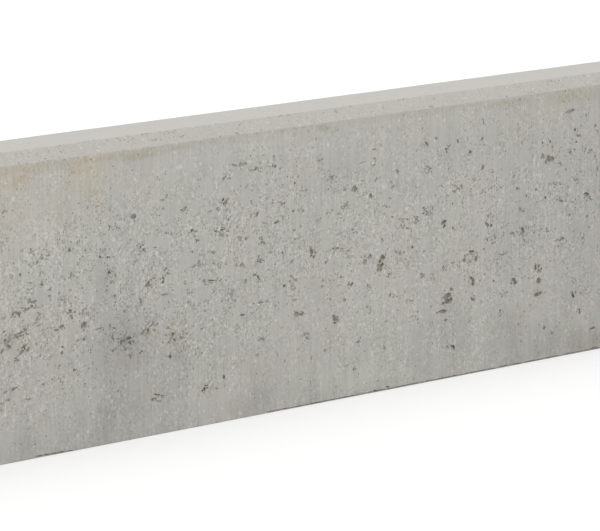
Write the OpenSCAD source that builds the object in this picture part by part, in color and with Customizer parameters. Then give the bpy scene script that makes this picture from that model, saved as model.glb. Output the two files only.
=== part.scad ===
// Concrete edging kerb, cast in one piece from an earth-moist mix.
// It stands on its narrow side: +X runs along the stone, +Y towards its back, +Z up.
// The origin is the middle of the underside. All sizes are in millimetres.

/* [Stone] */
// Length, from one end face to the other
stone_length = 1000; // [250:50:1200]
// Height, from the underside to the top
stone_height = 200; // [120:10:400]
// Thickness, from the front face to the back face
stone_thickness = 50; // [40:5:150]

/* [Front chamfer] */
// How far the chamfer reaches back across the top
chamfer_depth = 8; // [3:0.5:20]
// How far the chamfer drops down the front face
chamfer_drop = 8; // [3:0.5:20]

/* [Arrises] */
// Radius of the three arrises that the tamper head presses along the top
top_radius = 1.2; // [0.5:0.1:2]
// Radius of the two arrises along the underside, nearly sharp, where the mould stood on the pallet
foot_radius = 0.7; // [0.5:0.1:3]
// Radius of the upright arrises of the end faces, cast in the corners of the mould
end_radius = 2; // [0.5:0.1:4]
// Radius of the arrises where the end faces meet the top and the underside
end_rim_radius = 1.5; // [0.5:0.1:3]

/* [Hidden] */
$fn = 48;

// Colour of the concrete
concrete = [0.70, 0.69, 0.66];

front = -stone_thickness / 2;
back = stone_thickness / 2;
// Room that a cutting outline leaves round a form that it doesn't trim
clear = 1;

// Corners of the cross-section as [y, z, arris radius], anticlockwise from the front foot
section = [
    [front, 0, foot_radius],
    [back, 0, foot_radius],
    [back, stone_height, top_radius],
    [front + chamfer_depth, stone_height, top_radius],
    [front, stone_height - chamfer_drop, top_radius]
];

// Corners of a rectangle w wide and h high that share one radius
function rectangle_corners(w, h, r) = [
    [-w / 2, -h / 2, r],
    [w / 2, -h / 2, r],
    [w / 2, h / 2, r],
    [-w / 2, h / 2, r]
];

function point(corner) = [corner[0], corner[1]];
function unit(v) = v / norm(v);
function previous(list, i) = list[(i + len(list) - 1) % len(list)];
function next(list, i) = list[(i + 1) % len(list)];

// Half of the turn between the two sides that meet at corner i
function half_turn(corners, i) =
    let (a = unit(point(corners[i]) - point(previous(corners, i))),
         b = unit(point(next(corners, i)) - point(corners[i])))
    acos(min(1, a * b)) / 2;

// The two points where the arc of corner i meets its sides
function tangent_points(corners, i) =
    let (p = point(corners[i]),
         run = corners[i][2] * tan(half_turn(corners, i)))
    [p + run * unit(point(previous(corners, i)) - p), p + run * unit(point(next(corners, i)) - p)];

// The centre of the arc of corner i
function arc_centre(corners, i) =
    let (p = point(corners[i]),
         inward = unit(unit(point(previous(corners, i)) - p) + unit(point(next(corners, i)) - p)))
    p + inward * corners[i][2] / cos(half_turn(corners, i));

// A convex outline with each corner rounded to its own radius by a true arc
module rounded_outline(corners) {
    polygon([for (i = [0 : len(corners) - 1]) each tangent_points(corners, i)]);
    for (i = [0 : len(corners) - 1])
        translate(arc_centre(corners, i)) circle(r = corners[i][2]);
}

// The cross-section drawn out along X, a little longer than the stone
module drawn_section() {
    rotate([90, 0, 90])
        linear_extrude(height = stone_length + 2 * clear, center = true)
            rounded_outline(section);
}

// The mould seen from above, which rounds the upright arrises of the end faces
module mould_plan() {
    translate([0, 0, -clear])
        linear_extrude(height = stone_height + 2 * clear)
            rounded_outline(rectangle_corners(stone_length, stone_thickness, end_radius));
}

// The stone seen from the front, which rounds the end faces at the top and at the underside
module front_elevation() {
    translate([0, back + clear, stone_height / 2])
        rotate([90, 0, 0])
            linear_extrude(height = stone_thickness + 2 * clear)
                rounded_outline(rectangle_corners(stone_length, stone_height, end_rim_radius));
}

module kerb_stone() {
    color(concrete)
        intersection() {
            drawn_section();
            mould_plan();
            front_elevation();
        }
}

kerb_stone();
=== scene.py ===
import math
import random

import bmesh
import bpy
from mathutils import Matrix, Vector


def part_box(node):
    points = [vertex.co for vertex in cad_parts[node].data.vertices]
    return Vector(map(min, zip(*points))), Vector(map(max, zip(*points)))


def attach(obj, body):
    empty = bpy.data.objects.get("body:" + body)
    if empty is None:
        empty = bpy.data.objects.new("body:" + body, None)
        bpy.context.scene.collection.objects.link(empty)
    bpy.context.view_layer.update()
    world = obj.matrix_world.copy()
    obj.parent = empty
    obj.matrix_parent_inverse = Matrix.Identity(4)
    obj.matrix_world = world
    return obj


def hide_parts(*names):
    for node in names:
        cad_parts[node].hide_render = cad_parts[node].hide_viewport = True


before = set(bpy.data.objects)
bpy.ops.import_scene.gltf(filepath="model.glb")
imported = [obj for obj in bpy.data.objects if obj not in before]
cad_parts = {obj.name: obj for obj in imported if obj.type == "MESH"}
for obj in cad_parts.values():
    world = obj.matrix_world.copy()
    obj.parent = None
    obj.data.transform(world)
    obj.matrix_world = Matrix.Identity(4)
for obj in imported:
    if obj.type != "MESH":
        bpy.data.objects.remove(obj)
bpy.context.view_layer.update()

# A concrete edging kerb, dry-cast in a steel mould. It stands on its narrow side with its
# chamfered edge towards the camera: +X along the stone, +Y to its back, +Z up.

MM = 0.001
low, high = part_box("kerb_stone")
X_AXIS, Y_AXIS, Z_AXIS = Vector((1, 0, 0)), Vector((0, 1, 0)), Vector((0, 0, 1))

# The stone's section
CHAMFER = 8 * MM
ARRIS = 1.5 * MM
# How wide the two obtuse arrises beside the chamfer and the two at the foot are, as shares of
# the others
OBTUSE_ARRIS = 0.4
FOOT_ARRIS = 0.45

# The grid that the faces are cut into, and how many cuts more it has along the arrises
GRID = 10 * MM
ARRIS_CUTS = 3
# Places closer than this count as the same
NEAR = 0.1 * MM

# Size and depth of the slight waves of the faces, and of the raggedness of the arrises. Both fade
# away to nothing over the lowest stretch, because the underside is flat.
WAVES = (60 * MM, 0.25 * MM)
RAGGED = (4 * MM, 0.35 * MM)
FLAT_FOOT = 10 * MM
# Edges that turn by more than this stay sharp
SHARP_ANGLE = 40

# The camera, found from the stone's long edges in the photograph
LENS = 296.35
CAMERA_PLACE = Vector((-2.358, -2.3301, 0.6413))
CAMERA_PITCH = 9.405
CAMERA_YAW = 45.438
FARTHEST_SEEN = 200

# A wide pale floor that glows a little where the camera sees it, and one large soft lamp
FLOOR_WIDTH = 120
FLOOR_GREY = 0.65
FLOOR_GLOW = 0.37
LAMP_PLACE = Vector((-0.15, -0.3, 3.2))
LAMP_TARGET = Vector((0, 0, 0.1))
LAMP_WIDTH = 2.5
LAMP_POWER = 15


# Selecting and cutting


def select_nothing():
    bpy.ops.object.select_all(action="DESELECT")


def only(piece):
    """Selects one object and makes it the active one."""
    if bpy.context.object and bpy.context.object.mode != "OBJECT":
        bpy.ops.object.mode_set(mode="OBJECT")
    select_nothing()
    piece.select_set(True)
    bpy.context.view_layer.objects.active = piece


def select_edges(piece, wanted):
    """Selects, in edit mode, the edges whose middle and direction answer wanted."""
    only(piece)
    bpy.ops.object.mode_set(mode="EDIT")
    bpy.context.tool_settings.mesh_select_mode = (False, True, False)
    bpy.ops.mesh.select_all(action="DESELECT")
    mesh = bmesh.from_edit_mesh(piece.data)
    for edge in mesh.edges:
        start, end = (vertex.co for vertex in edge.verts)
        if wanted((start + end) / 2, end - start):
            edge.select_set(True)
    bmesh.update_edit_mesh(piece.data)


def apply_modifier(piece, modifier):
    only(piece)
    bpy.ops.object.modifier_apply(modifier=modifier.name)


def displace(piece, name, size, strength, group="", middle=0.5):
    """Pushes the surface in and out by a soft cloud pattern, and keeps the result."""
    clouds = bpy.data.textures.new(name, "CLOUDS")
    clouds.noise_scale = size
    clouds.noise_depth = 2
    modifier = piece.modifiers.new(name, "DISPLACE")
    modifier.texture = clouds
    modifier.texture_coords = "LOCAL"
    modifier.strength = strength
    modifier.mid_level = middle
    modifier.vertex_group = group
    apply_modifier(piece, modifier)


# The block


def cast_block():
    """The stone as a plain block: its chamfer, its rounded arrises and a grid over its faces."""
    select_nothing()
    bpy.ops.mesh.primitive_cube_add(size=1, location=(low + high) / 2)
    stone = bpy.context.object
    stone.name = "cast_kerb_stone"
    stone.scale = high - low
    bpy.ops.object.transform_apply(location=True, rotation=True, scale=True)

    def top_front(middle, run):
        return abs(middle.y - low.y) < NEAR and abs(middle.z - high.z) < NEAR and abs(run.x) > NEAR

    select_edges(stone, top_front)
    bpy.ops.mesh.bevel(offset=CHAMFER, segments=1, affect="EDGES")

    bpy.ops.mesh.select_all(action="SELECT")
    bpy.ops.transform.edge_bevelweight(value=1)
    chamfer_foot = high.z - CHAMFER - NEAR
    select_edges(stone, lambda middle, run: abs(run.x) > NEAR and middle.z > chamfer_foot and middle.y < 0)
    bpy.ops.transform.edge_bevelweight(value=OBTUSE_ARRIS - 1)
    select_edges(stone, lambda middle, run: abs(run.x) > NEAR and middle.z < NEAR)
    bpy.ops.transform.edge_bevelweight(value=FOOT_ARRIS - 1)
    bpy.ops.object.mode_set(mode="OBJECT")
    arrises = stone.modifiers.new("arrises", "BEVEL")
    arrises.limit_method = "WEIGHT"
    arrises.width = ARRIS
    arrises.segments = 3
    apply_modifier(stone, arrises)

    # Lengthwise first, in tenths and then to the grid, then upwards and across
    length, thickness, height = high - low
    tenths = 10
    select_edges(stone, lambda middle, run: abs(run.x) > length / 2)
    bpy.ops.mesh.subdivide(number_cuts=tenths - 1)
    select_edges(stone, lambda middle, run: abs(run.x) > GRID)
    bpy.ops.mesh.subdivide(number_cuts=round(length / tenths / GRID) - 1)
    select_edges(stone, lambda middle, run: abs(run.z) > height / 2)
    bpy.ops.mesh.subdivide(number_cuts=round(height / GRID) - 1)
    select_edges(stone, lambda middle, run: abs(run.y) > thickness / 2)
    bpy.ops.mesh.subdivide(number_cuts=round(thickness / GRID) - 1)
    # The arrises are cut finer, so that they can be ragged
    beside = 1.1 * ARRIS
    select_edges(stone, lambda middle, run: run.length > GRID / 2 and beside_arris(middle) < beside)
    bpy.ops.mesh.subdivide(number_cuts=ARRIS_CUTS)
    bpy.ops.object.mode_set(mode="OBJECT")
    return stone


def beside_arris(place):
    """How far a place of the skin lies from the second nearest of the stone's flat faces."""
    chamfer = (place.y - low.y + high.z - place.z - CHAMFER) / math.sqrt(2)
    depths = [place.x - low.x, high.x - place.x, place.y - low.y, high.y - place.y]
    return sorted(depths + [place.z - low.z, high.z - place.z, chamfer])[1]


def wear_arrises(stone):
    """Leaves the faces very slightly wavy and the arrises ragged, all within the mould's size."""
    waved = stone.vertex_groups.new(name="faces")
    worn = stone.vertex_groups.new(name="arrises")
    for vertex in stone.data.vertices:
        rise = min(1, (vertex.co.z - low.z) / FLAT_FOOT)
        waved.add([vertex.index], rise, "REPLACE")
        share = 1 - beside_arris(vertex.co) / (2 * ARRIS)
        if share > 0:
            worn.add([vertex.index], share * rise, "REPLACE")
    displace(stone, "waves", *WAVES, "faces", middle=1)
    displace(stone, "ragged arrises", *RAGGED, "arrises", middle=0.8)


# Voids

# The face attribute that says how dark the inside of a void is painted, with dirt and painted shade
HOLLOW = "hollow"
# How much wider a void is cut than it shows, since it is shallow along its rim
RIM = 1.1
# How deep the deepest void is
DEEPEST = 2.6 * MM
# Up to the first width a void is a plain crumb of few faces, and from the second one on a nest,
# unless it is long and thin
FINE, COARSE = 2 * MM, 3.4 * MM
# About how many faces a nest is thinned out to
NEST_FACES = 120
# How many radii apart the shapes are made, so that each takes its lumps from its own clouds
SPACING = 9
NEST_ROW = 40
# Smallest, largest and usual width of strewn voids
SMALL = (1.1 * MM, 2 * MM, 1.4 * MM)
MIXED = (1.8 * MM, 8 * MM, 3 * MM)
# How far from the middle the photograph shows the stone, and how far voids are strewn
SHOWN = 292 * MM
STREWN = 485 * MM
# How dark the chips and grooves along the foot are painted inside, with dirt and painted shade
FOOT_DARK = 0.9


class Face:
    """One flat side of the stone, with its own right, up and outward directions."""

    def __init__(self, origin, right, up):
        self.origin, self.right, self.up = Vector(origin), Vector(right), Vector(up)
        self.out = self.right.cross(self.up)

    def seat(self, across, along, width, height, depth, lean):
        """The matrix that lays a ball of radius 1 over a void's mouth."""
        turn = Matrix.Rotation(math.radians(lean), 3, "Z")
        axes = Matrix((self.right, self.up, self.out)).transposed() @ turn
        size = Matrix.Diagonal((width / 2, height / 2, depth))
        middle = self.origin + self.right * across + self.up * along
        return Matrix.Translation(middle) @ (axes @ size).to_4x4()


SLOPE = (Y_AXIS + Z_AXIS).normalized()
FACES = {
    "front": Face((0, low.y, 0), X_AXIS, Z_AXIS),
    "back": Face((0, high.y, 0), -X_AXIS, Z_AXIS),
    "left": Face((low.x, 0, 0), -Y_AXIS, Z_AXIS),
    "right": Face((high.x, 0, 0), Y_AXIS, Z_AXIS),
    "top": Face((0, 0, high.z), X_AXIS, Y_AXIS),
    "chamfer": Face((0, low.y + CHAMFER / 2, high.z - CHAMFER / 2), X_AXIS, SLOPE),
}


def read_off(x, z):
    """A place on the front face, in metres, from the straight millimetre scales of the lists.

    The scales stray a little towards the ends and the top, and a void shows a little to the left
    of its middle and above it.
    """
    scale_top = 190
    end_stray, top_stray = 0.0085, 1.9
    shows_left, shows_above = 1, 0.6
    across = x * (1 - end_stray * z / scale_top) + shows_left
    along = z - top_stray * (z / scale_top) ** 2 - shows_above
    return across * MM, along * MM


# The plainest voids of the front face, as (x, z, width, height, lean, dark) in millimetres and
# degrees, leaning up to the right. x counts from the middle of the stone, and dark runs from
# 0 for a shallow dent to 1 for a black pit. read_off turns these places, and those of the
# crescents, the open patches and the stains, into true ones.
HOLES = [
    # Left end of what shows, upper half
    (-287, 165, 4, 3, 30, 0.4), (-264, 136.5, 4, 2, 20, 0.5), (-272, 138, 2, 1, 0, 0.4),
    (-268, 129, 5, 2, -30, 0.3), (-259, 129, 3, 2, 0, 0.7), (-256, 131, 3, 1.5, 10, 0.5),
    (-251, 130, 2, 1, 0, 0.4), (-251, 136, 3, 1, -10, 0.4), (-282, 122.5, 3, 2.5, 0, 0.3),
    (-274, 122.5, 2.5, 1.5, -15, 0.8), (-254, 121.5, 2, 1, -15, 0.5), (-265, 116, 2, 2, 0, 0.3),
    (-255, 113.5, 3, 2, -25, 0.7), (-267, 112, 3, 1, 0, 0.4), (-248, 109.5, 2.5, 1.5, -15, 0.8),
    (-248, 104, 3, 4, 0, 0.35), (-231, 133.5, 2.5, 2.5, 0, 0.7), (-217, 131.5, 2, 1, 0, 0.5),
    (-204, 126, 2, 2, -30, 0.6), (-197, 125, 2, 1.5, -25, 0.85), (-228, 117.5, 4, 5, -20, 0.4),
    (-237, 117, 3, 1, 0, 0.4), (-240, 106, 3, 1.5, 0, 0.5), (-238, 101.5, 5, 1, 0, 0.5),
    (-230, 107, 3, 1.5, 0, 0.4), (-219, 107, 2, 1, 0, 0.4), (-196, 114.5, 3.5, 2, -10, 0.95),
    (-192, 117, 3, 1, 10, 0.5), (-190, 112, 2, 1.5, -40, 0.6), (-194, 108, 3, 1.5, 20, 0.6),
    (-197, 102.5, 3, 1.5, 0, 0.5), (-174, 149.5, 5, 3, -20, 0.5), (-200, 140.5, 3.5, 1, 0, 0.5),
    (-206, 160, 4, 1, 0, 0.4), (-195, 156, 3, 1.5, -30, 0.3), (-172, 119, 2, 1.5, 0, 0.4),
    (-187, 128.5, 4, 1, 45, 0.4), (-168, 129, 4, 1.5, 0, 0.5), (-165, 125.5, 4, 2, 0, 0.4),
    (-154, 126.5, 2, 1, 0, 0.6), (-147, 157.5, 2.5, 1.5, 0, 0.5), (-147, 151.5, 3, 1.5, 0, 0.4),
    (-143.5, 160, 1.5, 2, 0, 0.4), (-145, 135, 2, 1, 0, 0.4), (-145, 122, 3, 1.5, 0, 0.35),
    (-164.5, 111, 1.5, 3, 0, 0.4), (-161, 102.5, 5, 2, 10, 0.8), (-155.5, 106, 2, 1.5, 0, 0.4),
    (-147.5, 104, 4, 4, 45, 0.5), (-142, 107.5, 5, 1.5, 0, 0.6), (-265, 104, 5, 3, 0, 0.5),
    (-264, 101, 3, 1.2, 0, 0.8), (-261, 103.5, 3, 2, 0, 0.6), (-268, 99, 4, 1.5, 20, 0.6),
    (-272, 100.5, 3, 1, -20, 0.6), (-280, 97.5, 2.5, 2.5, 0, 0.8), (-276, 96.5, 5, 3, 0, 0.65),
    (-288, 96, 3, 1.5, 0, 0.4), (-190, 97.5, 3, 3.5, 0, 0.5),
    # Left end of what shows, lower half
    (-259, 91, 6, 1, 15, 0.6), (-260, 89.3, 5, 1, 10, 0.6), (-257, 87.5, 4, 1, 20, 0.6),
    (-274, 84.5, 7, 1.2, 10, 0.8), (-269, 86, 5, 1.2, 30, 0.8), (-268, 83, 4, 1, -20, 0.7),
    (-277, 82.5, 6, 1.4, -50, 0.8), (-285, 81, 4, 7, -20, 0.35), (-283, 83, 2, 3, 0, 0.6),
    (-284, 77, 3, 2, 0, 0.8), (-289, 75, 5, 1.4, 50, 0.8), (-288, 87, 4, 1, 20, 0.5),
    (-270, 75.5, 9, 1.3, 25, 0.8), (-268, 73.5, 5, 3, 0, 0.5), (-273, 71.5, 5, 2, 10, 0.5),
    (-277, 67.5, 4, 2.5, 0, 0.4), (-260, 75.5, 2, 2, 0, 0.4), (-237, 83.5, 5, 3, 10, 0.6),
    (-242, 82.3, 5, 1.2, 0, 0.9), (-231, 93, 4, 2, 10, 0.6), (-228.5, 90, 3, 4, 0, 0.6),
    (-218, 82.5, 5, 4, -10, 0.65), (-218.5, 79, 2, 1.5, 0, 0.6), (-223, 73, 2.5, 1.2, 30, 0.6),
    (-218, 73, 2.5, 1.5, 0, 0.8), (-237, 70.5, 3, 1.2, -15, 0.8), (-237.5, 66.5, 2, 3, 0, 0.6),
    (-240, 58.5, 1.5, 2, 0, 0.4), (-227, 54, 2.5, 2, 0, 0.6), (-237, 47, 2, 1.5, 0, 0.5),
    (-217, 43.5, 2.5, 1.5, -30, 0.4), (-279, 48.7, 6, 1.9, 10, 0.65), (-286, 47.5, 2.5, 1.5, 0, 0.5),
    (-284, 42, 3, 2, 0, 0.5), (-254, 48.5, 4, 1.2, 15, 0.5), (-267, 40.3, 6, 0.8, 5, 0.7),
    (-195, 79, 3, 2, -20, 0.4), (-191, 77, 3, 1.2, -20, 0.8), (-205, 78.5, 8, 1, 5, 0.5),
    (-181.5, 87, 1.5, 3, 0, 0.4), (-167, 92, 2, 4, 0, 0.5), (-185, 67, 2, 5, -10, 0.8),
    (-182, 67.5, 3, 2, 40, 0.7), (-178, 67.5, 5, 4, 0, 0.6), (-175, 65.5, 4, 2, -15, 0.8),
    (-187.5, 69.5, 4, 1, -10, 0.7), (-181, 61.5, 2.5, 2, 0, 0.7), (-192, 62, 3, 1.5, 30, 0.6),
    (-182, 71, 3, 1, 20, 0.6), (-176, 57, 4, 3, 0, 0.4), (-167, 58, 4, 1.5, 40, 0.5),
    (-165, 71, 5, 1.6, 20, 0.7), (-160.5, 72, 3, 2, 0, 0.9), (-157, 75, 5, 1.2, 30, 0.8),
    (-153, 74.5, 5, 1, 10, 0.6), (-155, 71, 4, 1, -20, 0.6), (-160, 76, 4, 1, 25, 0.6),
    (-145, 66.5, 3, 1, 0, 0.4), (-142, 71, 2, 1.5, 0, 0.5), (-146, 94, 6, 1, 5, 0.6),
    (-140.5, 51.5, 3, 3, 0, 0.8), (-155, 24.5, 5, 2, 10, 0.7), (-152, 27.5, 6, 1, -10, 0.9),
    (-147.5, 26, 5, 0.9, -10, 0.7), (-151, 23, 3, 1, -20, 0.6),
    # Left of the middle, upper half
    (-3, 184, 2, 1.5, 0, 0.4), (-43.5, 176, 2, 3, 0, 0.35), (-81, 174, 5, 1.2, -20, 0.6),
    (-75, 174, 3, 3, 0, 0.5), (-71, 174, 4, 2, 0, 0.5), (-53, 178, 3, 1, 0, 0.4),
    (-65, 169, 4, 1.2, 0, 0.5), (-60.5, 169.5, 3, 1.5, 0, 0.7), (-47, 169.5, 3, 1, 0, 0.4),
    (-43, 169.5, 3.5, 2.5, 0, 0.7), (-114, 167.5, 4, 1, 0, 0.4), (-91, 166, 3, 2, 0, 0.7),
    (-42, 159.5, 2, 1, 0, 0.6), (-20, 159.5, 2, 1, 0, 0.5), (-23, 155.5, 2.5, 1.5, 0, 0.7),
    (-69.5, 158, 2, 1, 0, 0.5), (-130, 149, 4, 1, 0, 0.6), (-126, 150, 3, 1.5, 20, 0.7),
    (-90, 150.5, 5, 4, 0, 0.6), (-96, 146, 4, 2, 10, 0.5), (-104, 145, 5, 1, 10, 0.5),
    (-65, 147.5, 2, 2, -40, 0.5), (-38, 144.5, 3, 1, -10, 0.4), (-35, 142.5, 4, 2, -15, 0.6),
    (-12, 149.5, 3, 1, 0, 0.4), (-86, 137.5, 3, 1.2, 0, 0.8), (-60, 138, 4, 2.5, 0, 0.5),
    (-65, 138.5, 2, 2, 0, 0.35), (-25, 136.5, 3, 1.5, 0, 0.9), (-20, 136.5, 2, 1, 0, 0.5),
    (-15.5, 135.5, 3, 2, -30, 0.5), (-49, 135.5, 2, 1, 0, 0.4), (-120.5, 134, 3, 2, -20, 0.7),
    (-117, 133, 4, 1.2, -15, 0.5), (-99, 131, 3, 1.5, 0, 0.5), (-92, 131.5, 4, 2, 20, 0.6),
    (-87, 129.5, 4, 1.2, 0, 0.5), (-93, 127.5, 5, 1.2, -30, 0.6), (-78, 131.5, 2, 1.5, 0, 0.5),
    (-53, 131.5, 4, 1.2, -5, 0.5), (-41, 130.7, 6, 1.6, 10, 0.8), (-76, 123.5, 4, 3, -20, 0.4),
    (-70, 122.5, 3, 2, 0, 0.7), (-120, 119.5, 2.5, 1.2, 0, 0.6), (-101, 117, 4, 1.5, -20, 0.5),
    (-100.5, 109.5, 2, 2, 0, 0.5), (-118, 110, 5, 1.5, 30, 0.6), (-114, 112, 4, 1, -20, 0.5),
    (-112, 110, 5, 1, 0, 0.5), (-23, 117, 3, 1.5, 0, 0.6), (-24, 123, 3, 2, 0, 0.35),
    (-5, 121.5, 3, 1, 0, 0.4), (-46, 110.5, 5, 1, 0, 0.5), (-57, 107, 4, 3, -20, 0.5),
    (-34, 108.5, 3, 4, -45, 0.5), (-7, 107, 4, 3, 0, 0.8), (-3.5, 105.5, 3, 1.5, -30, 0.6),
    (-5, 102.5, 2.5, 2, 0, 0.7), (-9, 109.5, 3, 1.2, -30, 0.6), (-73, 104.5, 4, 2, -20, 0.5),
    (-79, 105.5, 3, 1.5, 0, 0.4), (-126, 99.5, 4, 2, 0, 0.4), (-109, 98.5, 3, 2.5, 0, 0.5),
    (-102, 98, 7, 1, -10, 0.9), (-26, 101.5, 4, 1.5, 20, 0.5), (-61, 97, 3, 1.5, 0, 0.5),
    (-49, 99, 2, 1, 0, 0.5),
    # Left of the middle, lower half
    (-70, 94, 3, 2, 0, 0.5), (-58.5, 94, 4, 3, 0, 0.6), (-124, 92, 5, 1.5, 0, 0.4),
    (-82, 89, 3, 1.2, 0, 0.5), (-84, 86, 4, 1.5, -40, 0.4), (-123, 86, 2.5, 1.5, 0, 0.5),
    (-33.5, 86, 2.5, 2, 0, 0.95), (-26, 91, 4, 1.5, -40, 0.5), (-22, 89, 3, 1.2, -20, 0.5),
    (-24, 82.5, 4, 1.5, -20, 0.5), (-24, 75, 4, 1, -20, 0.5), (-56, 77.3, 6, 1.2, 0, 0.7),
    (-50, 77.5, 3, 1, -15, 0.5), (-108.5, 78, 2.5, 1, 0, 0.6), (-73.5, 71, 5, 1.3, -5, 1),
    (-65, 71.5, 3, 1, 0, 0.6), (-41.5, 73, 2.5, 2, 0, 0.4), (-129, 63.5, 4, 3.5, 0, 0.55),
    (-126, 65.5, 3, 1, 0, 0.5), (-138, 66, 3, 3, 0, 0.5), (-112, 66.5, 2, 1.5, 0, 0.4),
    (-22, 65, 5, 3, 0, 0.65), (-17, 65, 5, 2, 0, 0.55), (-55, 51.5, 5, 2, 0, 0.3),
    (-13, 50.5, 5, 1, -5, 0.7), (-11, 47, 5, 1.2, -30, 0.6), (-59, 41.5, 3, 2, 0, 0.4),
    (-40, 39.5, 1, 2, 0, 0.4), (-33, 34, 2.5, 1.2, 20, 0.6), (-7.5, 32.5, 1.5, 1.5, 0, 0.5),
    (-90.5, 31, 3, 2, -15, 1), (-109.5, 25, 3.5, 2.5, 20, 1), (-105.5, 26.5, 5, 2, 10, 0.6),
    (-97, 24, 3, 1, 0, 0.6),
    # Right of the middle, upper half
    (54.5, 171, 4, 1.2, 0, 0.5), (55, 164.5, 3, 1.5, -20, 0.6), (54, 160, 4, 1, 0, 0.5),
    (106.5, 169, 5, 2, 0, 0.65), (117, 172.5, 2.5, 2, 0, 0.6), (139, 168, 2, 3, 0, 0.6),
    (127.5, 163, 3, 3.5, 25, 0.6), (130, 165.5, 3, 1.5, 30, 0.6), (42, 163, 5, 1, 10, 0.5),
    (12, 156.5, 5, 1.2, 0, 0.6), (11, 154, 6, 3, 0, 0.3), (78, 153, 2.5, 2, 0, 0.6),
    (34.5, 145, 6, 3, 0, 0.6), (25.5, 146, 2, 1.5, 0, 0.4), (73, 142.3, 4, 2, 0, 0.5),
    (51, 139, 3, 3, 0, 0.7), (57, 150, 3, 1, 0, 0.5), (42.5, 150.5, 2, 1, 0, 0.5),
    (71, 146.5, 3, 1, -40, 0.5), (110, 149.5, 5, 1, 0, 0.4), (108, 153, 5, 1.2, -25, 0.5),
    (27, 136, 2, 1.5, 0, 0.4), (24, 133, 3, 1, 0, 0.5), (8, 131.5, 3, 1.2, 0, 0.4),
    (20, 129.5, 2, 1, 0, 0.4), (64, 130, 4, 1, 0, 0.4), (70, 135, 1.5, 2, 0, 0.4),
    (124, 137, 3, 1, -30, 0.4), (128.5, 130.5, 4, 1.2, -30, 0.6), (134, 133, 3, 1.2, 0, 0.5),
    (138, 135.5, 4, 1.2, -30, 0.5), (133.5, 124, 2, 2, 0, 0.4), (104, 124.5, 2.5, 2, 0, 0.6),
    (108, 121, 7, 1.2, -25, 0.5), (113, 123, 3, 1.5, 40, 0.5), (72, 121.5, 2, 1.5, -30, 0.6),
    (37, 115, 4, 1.2, -15, 0.4), (82.5, 119, 4, 1.2, 0, 0.5), (82, 114.5, 3.5, 1.5, 50, 0.5),
    (87.5, 112, 5, 1.5, -20, 0.6), (97, 116, 4, 4, 0, 0.4), (95, 119, 2, 1, 0, 0.6),
    (98, 118.5, 1.5, 1.5, 0, 0.9), (125, 111, 5, 4, -10, 0.8), (134, 107, 3, 2, -30, 0.6),
    (62.5, 106.5, 5, 1.2, -40, 0.5), (73, 108, 1, 4, 0, 0.4), (18, 106, 4, 1.2, 0, 0.5),
    (28, 103, 4, 1.2, -10, 0.4), (117, 101, 3, 1.2, -50, 0.5), (97, 103.5, 3, 1, 0, 0.4),
    (68, 99.5, 2, 1.5, 0, 0.4), (92.5, 98, 2.5, 2, -20, 0.8), (49.5, 96.5, 4, 3, 0, 0.5),
    (6.5, 97, 3, 1.2, 0, 0.5),
    # Right of the middle, lower half
    (45, 93.5, 4, 3, 30, 0.5), (62, 93.5, 6, 4, 0, 0.75), (60.5, 88.5, 6, 5, 10, 0.7),
    (58.5, 86.5, 2, 3.5, -10, 0.7), (104.5, 93.5, 3, 1.5, 0, 0.5), (4, 85.5, 3, 1.2, 0, 0.4),
    (3, 81, 2.5, 2, 0, 0.5), (20, 85, 5, 2, 0, 0.5), (20, 80, 3, 1, 0, 0.4), (31, 79.5, 4, 3.5, 0, 0.75),
    (25, 69, 3, 2.5, 0, 0.5), (48, 75.5, 4, 3, 10, 0.4), (37.5, 72, 2, 1, 0, 0.4),
    (70, 81, 4, 3, 30, 0.5), (70, 67, 3, 1.5, -10, 0.5), (73.5, 65, 4, 1.2, 0, 0.4),
    (78, 55, 1, 3, 0, 0.4), (91.5, 60.5, 4, 1, -10, 0.7), (92.5, 49, 3, 1.2, -20, 0.4),
    (103, 77, 4, 3.5, 0, 0.4), (112, 53.5, 3, 1.2, 10, 0.6), (127, 84.5, 4, 1, 30, 0.5),
    (134.5, 82, 3, 1.2, 0, 0.5), (132, 61.5, 6, 3.5, 40, 0.85), (128, 59, 6, 3.5, 10, 0.8),
    (129.5, 57.5, 7, 6, 20, 0.75), (130.5, 55, 6, 4, 0, 0.5), (124, 54.5, 3, 2.5, 0, 0.7),
    (124.5, 48.7, 9, 2.8, -5, 0.8), (118.5, 48.8, 4, 1, 0, 0.6), (127, 42.5, 3, 1.2, 0, 0.6),
    (14, 58, 2, 4, -20, 0.8), (18, 57, 2.5, 4, 0, 0.65), (16, 57.5, 4, 3.5, 0, 0.75),
    (16, 55, 3.5, 2.5, 0, 0.6), (66, 48.7, 6, 1, 5, 0.4), (38, 38, 4, 1.2, 0, 0.6),
    (7, 36, 4, 2, 20, 0.3), (65, 30.5, 3, 1.2, -5, 0.7), (28, 23, 2.5, 1.5, 0, 0.4),
    (34, 19.5, 2.5, 2, 0, 0.5), (128.5, 23, 2, 2, 0, 0.5), (133.5, 22.5, 5, 2, -35, 0.8),
    # Right end of what shows, upper half
    (166, 179.5, 2, 3.5, 0, 0.5), (164, 167, 3, 3, 0, 0.3), (151.5, 158, 5, 2.5, 30, 0.6),
    (165, 147, 3, 3, 0, 0.7), (228, 158, 3, 2, 0, 0.7), (236, 157, 4, 2, 0, 0.4),
    (238.5, 154, 2, 2, 0, 0.5), (216, 171, 2, 2, 0, 0.3), (228, 148, 4, 3, 0, 0.7),
    (233, 145.5, 6, 4, 0, 0.65), (237.5, 145.5, 5, 3.5, -20, 0.55), (257, 178, 11, 2.5, 8, 0.55),
    (262.5, 164, 2.5, 2.5, 0, 0.75), (285, 165, 3, 2, 0, 0.6), (267, 159, 4, 3, 0, 0.6),
    (264, 155, 2, 2, 0, 0.5), (262, 150, 2.5, 1.2, 0, 0.6), (257.5, 148, 3, 2, 0, 0.6),
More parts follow.
